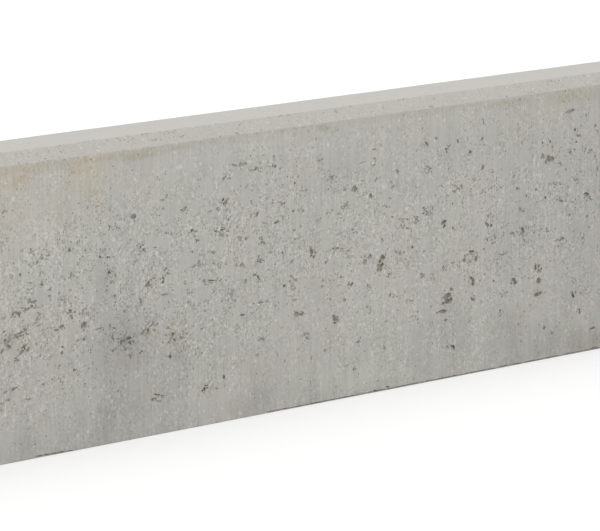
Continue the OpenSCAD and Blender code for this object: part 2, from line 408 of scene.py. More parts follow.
    (279, 147.5, 3, 1.5, 0, 0.4), (247, 141, 2, 2, 0, 0.5), (253, 136, 3, 1.5, 0, 0.5),
    (287, 133, 2, 2, 0, 0.5), (221, 125, 2.5, 2, 0, 0.6), (211, 121.5, 2, 1.5, 0, 0.8),
    (201, 128, 3, 2, 0, 0.7), (197.5, 137, 2, 2, 0, 0.5), (231, 118, 2.5, 2, 0, 1),
    (222, 115, 4, 1.5, 0, 0.4), (243.5, 115, 2, 1.5, 0, 0.8), (247.5, 114, 4, 2, -15, 0.6),
    (204, 112, 3, 2, 0, 0.4), (275, 115.5, 6, 2.2, -5, 0.65), (278, 112.5, 4, 1.5, -40, 0.4),
    (281, 111, 2, 1.5, 0, 0.6), (174, 104, 2.5, 2, 0, 0.9), (164, 129, 4, 1.5, 10, 0.6),
    (173, 131, 3, 1, 0, 0.5), (257, 102.5, 3, 2, 0, 0.6), (276, 99.5, 3, 1.5, 0, 0.7),
    (196, 96, 6, 2, -10, 0.65), (206, 96.5, 6, 3, 5, 0.65), (142, 136, 4, 2, 30, 0.4),
    (275, 173, 2, 2, 0, 0.4),
    # Right end of what shows, lower half
    (208, 91, 2, 6, 0, 0.5), (166, 88, 2, 2, 0, 0.4), (153, 87, 5, 3, 0, 0.7), (146, 82.5, 3, 3, 0, 0.75),
    (158, 82.5, 3, 3.5, 0, 0.7), (152, 80.5, 3, 1.2, 0, 0.6), (233, 93.5, 3, 2, 0, 0.7),
    (249, 86, 4, 1.5, 0, 0.75), (244, 86, 2, 2, 0, 0.5), (245, 81, 3, 2, 0, 0.5),
    (278, 91, 2, 1.5, 0, 0.5), (271, 84, 3, 2.5, 0, 0.4), (180, 76, 2, 2, 0, 0.5),
    (154, 66.5, 6, 4, -15, 0.8), (155, 54.5, 5, 3.5, 0, 0.7), (197, 61, 6, 4.5, 15, 0.75),
    (176, 64, 3, 1.5, -25, 0.6), (222, 68.5, 5, 3.5, -30, 0.85), (225, 66, 4.5, 3, -35, 0.85),
    (223.5, 58.5, 4, 4, 0, 0.8), (223, 49, 9, 2.7, 10, 0.8), (262, 44, 5, 4, 0, 0.8),
    (268.5, 44, 2, 2, 0, 0.5), (275, 45.5, 2, 1, 0, 0.5), (267, 31, 4, 3.5, 0, 0.55),
    (230, 23.5, 3, 2, 0, 0.8), (238, 18.5, 2.5, 1.5, -30, 0.6), (282, 16.5, 6, 1.6, 5, 0.75),
    (202, 29.5, 2, 1, 0, 0.5), (207, 53, 4, 1, -20, 0.4),
]

# Chips along the front foot as (x, z, width, height, lean), in true millimetres
FOOT_CHIPS = [
    (-256, 1.2, 9, 0.9, -2), (-250, 1.1, 9, 1.0, -2), (-243, 1.0, 9, 1.0, -2), (-236, 0.9, 8, 0.9, -2),
    (-230, 0.7, 7, 0.8, -2), (56, 1.4, 4, 1.2, 0), (69, 1.9, 3.5, 1.7, 0), (284, 1.5, 9, 1.2, 5),
]
# Stretches of the front foot that end in a ragged groove over a thin lip, from x to x in millimetres
FOOT_GROOVES = [(-480, -410), (-45, 300), (350, 440)]

# Voids in a row or in a bent row round a stone of the aggregate, as (x, z, width, height,
# first angle, last angle, count)
CRESCENTS = [
    (-230, 91, 8, 6, -40, 140, 3), (172, 108, 7, 9, 0, 330, 6), (108, 122, 10, 6, 190, 350, 3),
    (-266, 41, 8, 2, 180, 350, 3), (153, 84, 14, 7, -20, 200, 5), (184, 40, 5, 4, 0, 300, 4),
    (54, 162, 4, 5, 150, 330, 3), (262, 54, 5, 4, 170, 300, 3), (187, 54, 7, 5, 0, 300, 4),
]

# Patches where the mix stayed open, as (x, z, width, height, lean, count)
OPEN_PATCHES = [
    (-283, 79, 12, 12, 30, 5), (-272, 84, 14, 6, 20, 4), (-262, 101, 9, 7, 0, 5), (-277, 96, 10, 5, 0, 4),
    (-180, 66, 16, 9, 10, 7), (-159, 72, 15, 7, 25, 7), (-139, 63, 8, 9, 0, 6), (-153, 25, 11, 6, 10, 5),
    (235, 146, 9, 5, -10, 7), (140, 134, 11, 4, 20, 5), (-6, 106, 9, 8, 0, 4), (-75, 173, 14, 3, 0, 2),
    (-62, 168, 10, 2, 5, 2), (-127, 148, 8, 3, 5, 2), (-58, 77, 11, 3, 0, 2), (-13, 49, 10, 5, -25, 3),
    (-115, 110, 10, 3, 5, 3), (175, 94, 13, 6, 0, 9), (78, 94, 14, 12, 0, 7), (-25, 88, 7, 10, 0, 5),
    (-165, 127, 9, 5, -30, 4), (-255, 133, 14, 5, 0, 4), (249, 84, 9, 6, 0, 5), (266, 127, 9, 6, 0, 6),
    (-100, 97, 14, 3, 0, 4), (-83, 82, 6, 18, 0, 7), (108, 151, 8, 5, 0, 4), (-95, 130, 14, 6, -10, 5),
    (240, 126, 16, 4, 0, 7), (186, 82, 8, 4, 0, 3), (85, 115, 9, 8, 0, 4), (18, 104, 14, 5, -10, 5),
    (25, 133, 8, 6, 0, 4), (-219, 92, 10, 4, 0, 4), (-160, 104, 8, 7, 0, 3), (-195, 112, 9, 9, 0, 4),
    (176, 131, 28, 3, 5, 6), (-57, 107, 9, 5, 0, 3), (36, 117, 9, 6, 0, 4), (112, 75, 8, 5, 0, 4),
    (126, 80, 12, 5, 30, 3), (-55, 53, 12, 4, 0, 3), (205, 112, 8, 3, 0, 3), (48, 96, 7, 5, 0, 3),
]


def lumpy_ball(name, place, radius, fineness):
    """A ball with a lumpy skin, to press one crumbly hollow."""
    select_nothing()
    bpy.ops.mesh.primitive_ico_sphere_add(subdivisions=fineness, radius=radius, location=place)
    ball = bpy.context.object
    bpy.ops.object.transform_apply(location=True)
    displace(ball, name, 0.8 * radius, 0.9 * radius)
    return ball


def centre_shape(shape, fill=2):
    """Puts a shape's middle on the origin and brings it to a height of 2, and a width of fill."""
    only(shape)
    bpy.ops.object.origin_set(type="ORIGIN_GEOMETRY", center="BOUNDS")
    shape.location = (0, 0, 0)
    shape.dimensions = (fill, fill, 2)
    bpy.ops.object.transform_apply(location=True, scale=True)
    shape.data.attributes.new(HOLLOW, "FLOAT", "FACE")
    return shape


def crumb_shapes(count, fineness):
    """Small voids: single lumpy balls."""
    shapes = []
    for number in range(count):
        place = (SPACING * number, 0, 0)
        shapes.append(centre_shape(lumpy_ball(f"crumb {fineness} {number}", place, 1, fineness)))
    return shapes


def nest_shapes(count, draw):
    """Larger voids: a few lumpy balls grown into one."""
    shapes = []
    for number in range(count):
        balls = []
        for part in range(draw.randint(3, 5)):
            angle = draw.uniform(0, math.tau)
            out = draw.uniform(0.3, 0.75)
            right, up = out * math.cos(angle), out * math.sin(angle)
            place = (SPACING * number + right, NEST_ROW + up, draw.uniform(-0.2, 0.2))
            balls.append(lumpy_ball(f"nest {number} {part}", place, draw.uniform(0.3, 0.5), 2))
        select_nothing()
        for ball in balls:
            ball.select_set(True)
        bpy.ops.object.join()
        nest = bpy.context.object
        grow = nest.modifiers.new("grow together", "REMESH")
        grow.mode = "VOXEL"
        grow.voxel_size = 0.12
        apply_modifier(nest, grow)
        thin = nest.modifiers.new("thin out", "DECIMATE")
        thin.ratio = NEST_FACES / (2 * len(nest.data.polygons))
        apply_modifier(nest, thin)
        shapes.append(centre_shape(nest, 2.25))
    return shapes


class Voids:
    """Collects voids, and cuts them in rounds in which no two touch."""

    def __init__(self, seed):
        self.draw = random.Random(seed)
        self.grains = crumb_shapes(8, 1)
        self.crumbs = crumb_shapes(6, 2)
        self.nests = nest_shapes(10, self.draw)
        self.rounds = []
        self.taken = []

    def add(self, face, across, along, width, height, lean=0, dark=None):
        """One void, width by height over its mouth. dark is how far its inside is darkened with dirt and
        painted shade, and how far it is deepened.
        """
        dark = dark or self.draw.uniform(0.25, 0.75)
        depth = (0.5 + 0.6 * dark) * min(0.34 * min(width, height) + 0.5 * MM, DEEPEST)
        size = max(width, height)
        thin = width > 3 * height
        shapes = self.grains if size < FINE else self.crumbs if thin or size < COARSE else self.nests
        shape = self.draw.choice(shapes)
        angle = self.draw.choice((0, math.pi)) if thin else self.draw.uniform(0, math.tau)
        turn = Matrix.Rotation(angle, 4, "Z")
        tip = Matrix.Rotation(self.draw.choice((0, math.pi)), 4, "X")
        seat = FACES[face].seat(across, along, width, height, depth, lean) @ turn @ tip
        void = bpy.data.objects.new("void", shape.data.copy())
        void.matrix_world = seat
        void.data.attributes[HOLLOW].data.foreach_set("value", [dark] * len(void.data.polygons))
        bpy.context.scene.collection.objects.link(void)
        self.free_round(seat.translation, max(size / 2, depth) * 1.5).append(void)

    def free_round(self, middle, reach):
        """The first round in which nothing lies within reach of a place."""
        taken = {number for place, room, number in self.taken if (place - middle).length < room + reach}
        number = next(free for free in range(len(taken) + 1) if free not in taken)
        self.taken.append((middle, reach, number))
        while number >= len(self.rounds):
            self.rounds.append([])
        return self.rounds[number]

    def beside(self, face, across, along, right, up, lean, width, height):
        """A void at a place given in the leaning frame of another."""
        tilt = math.radians(lean)
        across += right * math.cos(tilt) - up * math.sin(tilt)
        along += right * math.sin(tilt) + up * math.cos(tilt)
        self.add(face, across, along, width, height, lean + self.draw.uniform(-30, 30))

    def hole(self, face, across, along, width, height, lean, dark=None, crumbs=(0, 1, 1, 2)):
        """One plain void with a few crumbs broken out beside it."""
        self.add(face, across, along, width, height, lean, dark)
        for _ in range(self.draw.choice(crumbs)):
            angle = self.draw.uniform(0, math.tau)
            out = self.draw.uniform(0.55, 0.9)
            size = self.draw.uniform(0.9, 1.5) * MM
            right, up = out * width * math.cos(angle), out * height * math.sin(angle)
            flat = self.draw.uniform(0.6, 1)
            self.beside(face, across, along, right, up, lean, size * self.draw.uniform(1, 1.6), size * flat)

    def crescent(self, face, across, along, width, height, first, last, count):
        """Small voids along part of an oval."""
        for step in range(count):
            angle = math.radians(first + (last - first) * (step + self.draw.uniform(0, 0.5)) / count)
            spread = self.draw.uniform(0.85, 1.1) / 2
            size = self.draw.uniform(0.22, 0.4) * min(width, height)
            self.add(
                face,
                across + spread * width * math.cos(angle),
                along + spread * height * math.sin(angle),
                size * self.draw.uniform(1, 1.7),
                size * self.draw.uniform(0.7, 1.1),
                math.degrees(angle) + 90 + self.draw.uniform(-50, 50),
            )

    def open_patch(self, face, across, along, width, height, lean, count):
        """Small voids strewn over an oval."""
        for _ in range(count):
            angle = self.draw.uniform(0, math.tau)
            out = math.sqrt(self.draw.uniform(0, 1)) / 2
            size = self.draw.uniform(1.0, 1.9) * MM
            right, up = out * width * math.cos(angle), out * height * math.sin(angle)
            flat = self.draw.uniform(0.6, 1.1)
            self.beside(face, across, along, right, up, lean, size * self.draw.uniform(1, 2.2), size * flat)

    def cut(self, stone):
        """Takes the voids out of the stone, round by round."""
        for voids in self.rounds:
            select_nothing()
            for void in voids:
                void.select_set(True)
            bpy.context.view_layer.objects.active = voids[0]
            if len(voids) > 1:
                bpy.ops.object.join()
            bpy.ops.object.transform_apply(location=True, rotation=True, scale=True)
            cutter = bpy.context.object
            cut = stone.modifiers.new("voids", "BOOLEAN")
            cut.object = cutter
            cut.operation = "DIFFERENCE"
            cut.solver = "MANIFOLD"
            apply_modifier(stone, cut)
            bpy.data.objects.remove(cutter)
        for shape in self.grains + self.crumbs + self.nests:
            bpy.data.objects.remove(shape)


# dirt sets how dark the single voids are painted inside, with dirt and painted shade
def strew(voids, face, count, widths, across_range, along_range, dirt_and_shade=(0.45, 0.95)):
    """Voids at random over a part of a face: single ones, crescents and open patches."""
    draw = voids.draw
    single_share, crescent_share = 0.7, 0.15
    for _ in range(count):
        across, along = draw.uniform(*across_range), draw.uniform(*along_range)
        kind = draw.random()
        if kind < single_share:
            size = draw.triangular(*widths)
            flat = draw.uniform(0.5, 0.9)
            lean, dark = draw.uniform(-30, 30), draw.uniform(*dirt_and_shade)
            voids.hole(face, across, along, size, size * flat, lean, dark, crumbs=(0, 1, 2))
        elif kind < single_share + crescent_share:
            size = draw.uniform(5 * MM, 10 * MM)
            first = draw.uniform(0, 360)
            last = first + draw.uniform(90, 220)
            voids.crescent(face, across, along, size, size * 0.8, first, last, count=4)
        else:
            width, height = draw.uniform(5, 12) * MM, draw.uniform(3, 6) * MM
            voids.open_patch(face, across, along, width, height, lean=0, count=5)


def groove_foot(voids):
    """The ragged grooves along the front foot: long thin voids in a row, each over the next."""
    draw = voids.draw
    for x, end in FOOT_GROOVES:
        while x < end:
            width = draw.uniform(5, 13)
            rise, height = draw.uniform(0.7, 1.0), draw.uniform(0.6, 0.95)
            voids.add("front", x * MM, rise * MM, width * MM, height * MM, draw.uniform(-2, 2), FOOT_DARK)
            x += width * draw.uniform(0.55, 0.9)


def peck_chamfer(voids):
    """Clusters of fine pits on the chamfer, most of them along its upper arris."""
    draw = voids.draw
    clusters = 55
    half = CHAMFER / math.sqrt(2)
    for _ in range(clusters):
        across = draw.uniform(-0.49, 0.49)
        along = draw.choice((1, 1, 0.85, 0.5, -0.2, -0.8)) * half
        for _ in range(draw.choice((1, 2, 3, 5))):
            size = draw.uniform(0.9, 1.6) * MM
            place = across + draw.uniform(-9, 9) * MM
            rise = min(along + draw.uniform(-1, 1) * MM, half)
            width, height = size * draw.uniform(1, 1.8), size * 0.8
            voids.add("chamfer", place, rise, width, height, lean=0, dark=0.5)


def press_voids(stone):
    """Every void in the stone: the plain ones where they show, and the others at random."""
    voids = Voids(seed=7)
    for x, z, width, height, lean, dark in HOLES:
        voids.hole("front", *read_off(x, z), RIM * width * MM, RIM * height * MM, lean, dark)
    for x, z, width, height, first, last, count in CRESCENTS:
        voids.crescent("front", *read_off(x, z), width * MM, height * MM, first, last, count)
    for x, z, width, height, lean, count in OPEN_PATCHES:
        voids.open_patch("front", *read_off(x, z), width * MM, height * MM, lean, count)
    for x, z, width, height, lean in FOOT_CHIPS:
        voids.add("front", x * MM, z * MM, width * MM, height * MM, lean, FOOT_DARK)
    groove_foot(voids)
    peck_chamfer(voids)
    # Only a few small ones among those that show, and more of all widths past them
    strew(voids, "front", 45, SMALL, (-SHOWN, SHOWN), (0.04, 0.17), dirt_and_shade=(0.25, 0.75))
    for side in (-1, 1):
        strew(voids, "front", 90, MIXED, (side * STREWN, side * SHOWN), (0.015, 0.178))
    strew(voids, "back", 140, MIXED, (-STREWN, STREWN), (0.015, 0.185))
    for end in ("left", "right"):
        strew(voids, end, 12, MIXED, (-0.02, 0.02), (0.02, 0.18))
    voids.cut(stone)


def make_stone():
    stone = cast_block()
    wear_arrises(stone)
    press_voids(stone)
    only(stone)
    bpy.ops.object.shade_smooth_by_angle(angle=math.radians(SHARP_ANGLE))
    even = stone.modifiers.new("even shading", "WEIGHTED_NORMAL")
    even.keep_sharp = True
    apply_modifier(stone, even)
    return stone


# Materials


def linear(*levels):
    """A colour written in display levels from 0 to 255, as the linear colour that nodes take."""
    parts = [level / 255 for level in levels]
    return [p / 12.92 if p <= 0.04045 else ((p + 0.055) / 1.055) ** 2.4 for p in parts] + [1]


class Tree:
    """A material's nodes, with a short way to write each kind."""

    def __init__(self, name):
        self.material = bpy.data.materials.new(name)
        self.material.use_nodes = True
        self.nodes = self.material.node_tree.nodes
        self.nodes.clear()
        self.links = self.material.node_tree.links

    def node(self, kind, inputs=(), **settings):
        node = self.nodes.new("ShaderNode" + kind)
        for key, value in settings.items():
            setattr(node, key, value)
        for key, value in dict(inputs).items():
            self.put(node.inputs[key], value)
        return node

    def put(self, socket, value):
        if isinstance(value, bpy.types.NodeSocket):
            self.links.new(value, socket)
        else:
            socket.default_value = value

    def calc(self, operation, *values):
        return self.node("Math", enumerate(values), operation=operation).outputs[0]

    def vector(self, operation, *values, output="Vector"):
        return self.node("VectorMath", enumerate(values), operation=operation).outputs[output]

    def add(self, *values):
        total = values[0]
        for value in values[1:]:
            total = self.calc("ADD", total, value)
        return total

    def times(self, *values):
        product = values[0]
        for value in values[1:]:
            product = self.calc("MULTIPLY", product, value)
        return product

    def rest(self, share):
        """What a share leaves of 1."""
        return self.calc("SUBTRACT", 1, share)

    def ramp(self, value, start, end, to=(0, 1)):
        """A soft step from to[0] at start to to[1] at end."""
        inputs = {"Value": value, "From Min": start, "From Max": end, "To Min": to[0], "To Max": to[1]}
        step = self.node("MapRange", inputs, interpolation_type="SMOOTHSTEP", clamp=False)
        return step.outputs["Result"]

    def mix(self, factor, first, second, how="MIX"):
        node = self.node("Mix", data_type="RGBA", blend_type=how)
        for index, value in ((0, factor), (6, first), (7, second)):
            self.put(node.inputs[index], value)
        return node.outputs[2]

    def grey(self, value):
        return self.node("CombineColor", {"Red": value, "Green": value, "Blue": value}).outputs[0]

    def stretch(self, where, scale, shift=(0, 0, 0)):
        return self.vector("MULTIPLY_ADD", where, scale, shift)

    def noise(self, where, size, detail=2.0, rough=0.5, output="Fac"):
        """Cloudy noise whose patches are about as wide as size, in metres."""
        inputs = {"Vector": where, "Scale": 0.5 / size, "Detail": detail, "Roughness": rough}
        return self.node("TexNoise", inputs).outputs[output]

    def wave(self, where, size, share, detail=2.0, rough=0.5):
        """Cloudy noise about zero, whose usual swing is near share."""
        even = self.calc("SUBTRACT", self.noise(where, size, detail, rough), 0.5)
        return self.times(even, share * 5)

    def cells(self, where, size, output="Distance", feature="F1"):
        """Cells about as wide as size, in metres."""
        inputs = {"Vector": where, "Scale": 1 / size}
        return self.node("TexVoronoi", inputs, feature=feature).outputs[output]

    def split(self, vector):
        return self.node("SeparateXYZ", {"Vector": vector}).outputs

    def flatten(self, where):
        """Coordinates that lie in one plane over each of the stone's faces."""
        x, y, z = self.split(where)
        return self.node("CombineXYZ", {"X": self.add(x, y), "Y": self.add(z, y)}).outputs[0]

    def dots(self, where, spacing, density, girth):
        """Strewn dots, one in a share of the cells given by density, their radii girth of a cell."""
        inputs = {"Vector": self.flatten(where), "Scale": 1 / spacing}
        cell = self.node("TexVoronoi", inputs, voronoi_dimensions="2D").outputs
        chance, size = self.split(cell["Color"])[0:2]
        radius = self.calc("MULTIPLY_ADD", size, girth[1] - girth[0], girth[0])
        inside = self.ramp(self.calc("SUBTRACT", cell["Distance"], radius), 0.06, -0.04)
        return self.times(self.calc("LESS_THAN", chance, density), inside)

    def shake(self, where, size, reach, detail=2):
        """The coordinates pushed about by up to half of reach, in patches as wide as size."""
        push = self.vector("SUBTRACT", self.noise(where, size, detail, output="Color"), (0.5, 0.5, 0.5))
        push = self.node("VectorMath", {0: push, "Scale": reach}, operation="SCALE").outputs[0]
        return self.vector("ADD", where, push)

    def marks(self, where, spots):
        """How strongly a kind of stain or painted shade lies at a place, from its list of soft ovals."""
        stained = 0
        for x, z, width, height, strength in spots:
            across, along = read_off(x, z)
            half_width, half_height = width / 2 * MM, height / 2 * MM
            scale = (1 / half_width, 0, 1 / half_height)
            oval = self.stretch(where, scale, (-across / half_width, 0, -along / half_height))
            away = self.vector("LENGTH", oval, output="Value")
            stained = self.calc("MAXIMUM", stained, self.ramp(away, 1, 0.15, (0, strength)))
        return stained


# Stains and painted shade of the front face: soft ovals, as (x, z, width, height, strength) in millimetres
BEIGE = [
    (-282, 186, 80, 46, 0.8), (-262, 160, 150, 70, 0.3), (-214, 182, 64, 40, 0.8),
    (-206, 168, 18, 36, 0.6), (234, 181, 66, 20, 0.5), (202, 172, 40, 26, 0.3), (150, 184, 30, 12, 0.3),
    (274, 4, 60, 26, 0.45), (-282, 84, 40, 40, 0.4), (-140, 62, 50, 30, 0.3),
]
# A brownish stain and painted shade just under the chamfer's lower arris
UNDER_CHAMFER_STAIN_AND_SHADE = [
    (-250, 190, 60, 10, 0.4), (-282, 191, 60, 5, 0.3), (-205, 191, 90, 5, 0.7), (-168, 190, 60, 9, 0.9),
    (-130, 191, 50, 5, 0.5), (5, 190, 24, 8, 0.5), (60, 191, 60, 4, 0.2), (110, 191, 60, 5, 0.3),
    (190, 190, 80, 8, 0.6), (262, 188, 90, 14, 0.6),
]
OLIVE = [
    (-165, 190, 50, 6, 0.5), (5, 190, 16, 8, 0.8), (248, 190, 28, 8, 0.3), (-276, 97, 10, 6, 0.6),
    (129, 53, 24, 22, 0.7), (-270, 74, 15, 9, 1.0), (61, 90, 11, 13, 0.9), (-34, 84, 9, 9, 0.7),
    (-218, 82, 8, 8, 0.7), (223, 66, 12, 9, 0.6), (223, 48, 14, 9, 0.8), (91, 60, 8, 4, 0.8),
    (154, 68, 11, 11, 0.6), (73.5, 65, 7, 3, 1.0), (-137, 62, 14, 16, 0.6), (-80, 5, 26, 9, 0.35),
    (70, 5, 18, 10, 0.5), (-97, 4, 8, 6, 0.5), (117, 75, 8, 5, 0.8), (16, 57, 11, 10, 0.6),
]
BROWN = [
    (16, 57, 13, 13, 0.4), (-159, 70, 20, 9, 0.45), (-136, 49, 9, 8, 0.7), (-104, 23, 22, 10, 0.35),
    (-108, 27, 10, 7, 0.7), (-208, 168, 8, 12, 0.5), (-275, 183, 26, 8, 0.5), (-88, 40, 9, 7, 0.3),
    (-222, 188, 46, 12, 0.35), (-140, 74, 12, 8, 0.4), (154, 70, 12, 9, 0.35), (-62, 79, 14, 4, 0.5),
]
PINK = [
    (78, 94, 22, 16, 0.8), (-26, 88, 14, 16, 0.9), (12, 45, 18, 12, 0.7), (-73, 82, 18, 12, 0.8),
    (-58, 31, 26, 14, 0.8), (195, 34, 24, 14, 0.9), (-283, 100, 16, 16, 0.7), (-180, 55, 30, 20, 0.8),
    (-165, 165, 18, 12, 0.5), (110, 180, 14, 10, 0.7), (262, 22, 16, 14, 0.7), (-68, 170, 18, 12, 0.5),
    (-160, 30, 30, 20, 0.5), (-282, 158, 40, 40, 0.6), (-262, 92, 16, 12, 0.6),
]
# Damp patches, and painted shade: a broad darkening over the right end and along the foot of the front face
DAMP_AND_SHADE = [
    (-184, 62, 92, 84, 1.0), (-201, 108, 30, 90, 0.45), (-180, 20, 90, 70, 0.8), (-138, 52, 60, 70, 0.55),
    (130, 30, 90, 60, 0.4), (190, 24, 80, 60, 0.5), (276, 8, 100, 44, 0.9), (235, 14, 70, 50, 0.7),
    (262, 145, 70, 60, 0.35), (-150, 20, 60, 60, 0.4), (-66, 8, 50, 34, 0.5), (-284, 82, 26, 26, 0.25),
    (-205, 90, 30, 26, 0.55), (-245, 12, 70, 40, 0.25), (0, 5, 30, 10, 0.3), (320, 100, 250, 420, 0.5),
    (195, 160, 110, 110, 0.3), (20, 160, 90, 40, 0.25), (-176, 120, 30, 130, 0.15),
    (195, 92, 80, 90, 0.35), (210, 112, 40, 50, 0.4), (140, 166, 34, 34, 0.25), (-175, 184, 40, 24, 0.2),
    (200, 4, 90, 16, 0.45), (-160, 4, 90, 16, 0.5), (-105, 105, 24, 30, 0.2), (285, 160, 60, 120, 0.12),
    (-213, 88, 30, 24, 0.18), (200, 55, 60, 40, 0.12),
]
PALE = [
    (-132, 178, 12, 5, 0.5), (-280, 173, 4, 5, 0.7), (-175, 145, 5, 4, 0.6), (53, 162, 4, 4, 0.7),
    (64, 144, 12, 7, 0.3), (-262, 150, 90, 90, 0.13), (-280, 118, 40, 50, 0.12), (-146, 178, 6, 4, 0.4),
    (-268, 135, 9, 5, 0.4), (-246, 131, 5, 4, 0.5), (-208, 140, 50, 60, 0.08), (-40, 55, 130, 90, 0.07),
    (50, 70, 110, 130, 0.08), (-248, 182, 50, 26, 0.12), (-60, 184, 130, 20, 0.08),
    (52, 14, 70, 36, 0.12), (-36, 8, 24, 30, 0.12), (-286, 124, 5, 4, 0.5), (47, 139, 7, 2, 0.5),
    (-200, 150, 6, 5, 0.3), (60, 110, 130, 60, 0.05), (-50, 78, 100, 50, 0.06), (-136, 180, 50, 30, 0.07),
]


# The concrete's colours: its skin where it is warmer and where it is cooler, on the struck top and
# on the chamfer, then its pores, the pale grains of its sand, the dirt and painted shade in the voids, and
# lime
WARM_SKIN = linear(189.7, 187.5, 181.4)
COOL_SKIN = linear(188.2, 187.5, 181.4)
TOP_SKIN = linear(188, 185.5, 180.5)
CHAMFER_SKIN = linear(184, 181, 175.5)
PORE = linear(112, 110, 98)
PALE_SAND = linear(232, 231, 225)
VOID_DIRT_AND_SHADE = linear(119, 119, 104)
VOID_DUST_AND_SHADE = linear(124, 121, 109)
VOID_CRUMBS = linear(152, 150, 137)
LIME = linear(222, 220, 212)

# What the skin is multiplied by where a stain, a crust or a painted shade is strongest
CRUST_TINT = (1.0, 0.996, 0.98, 1)
BEIGE_TINT = (1.065, 0.997, 0.91, 1)
OLIVE_TINT = (0.915, 0.912, 0.8, 1)
BROWN_TINT = (0.885, 0.84, 0.735, 1)
PINK_TINT = (1.01, 0.97, 0.95, 1)
# Damp and painted shade darken the skin in grey
DAMP_AND_SHADE_TINT = (0.83, 0.83, 0.84, 1)
# A brownish stain and painted shade in a band just under the chamfer
STAIN_AND_SHADE_BAND_TINT = (0.945, 0.92, 0.875, 1)
UNDER_CHAMFER_STAIN_AND_SHADE_TINT = (0.91, 0.885, 0.79, 1)

# How sandy the chamfer and the struck top are, and how many pores the top has, as plain greys
CHAMFER_SANDY = (0.36, 0.36, 0.36, 1)
TOP_SANDY = (0.12, 0.12, 0.12, 1)
TOP_PORES = (0.01, 0.01, 0.01, 1)

# Sizes in the mix: its stones, the gravel between them, and its sand
STONES = 15 * MM
GRAVEL = 7 * MM
GRIT = 2.2 * MM
SAND = 0.8 * MM
# How much the upright drag stretches a streak
DRAG = (1, 1, 0.05)


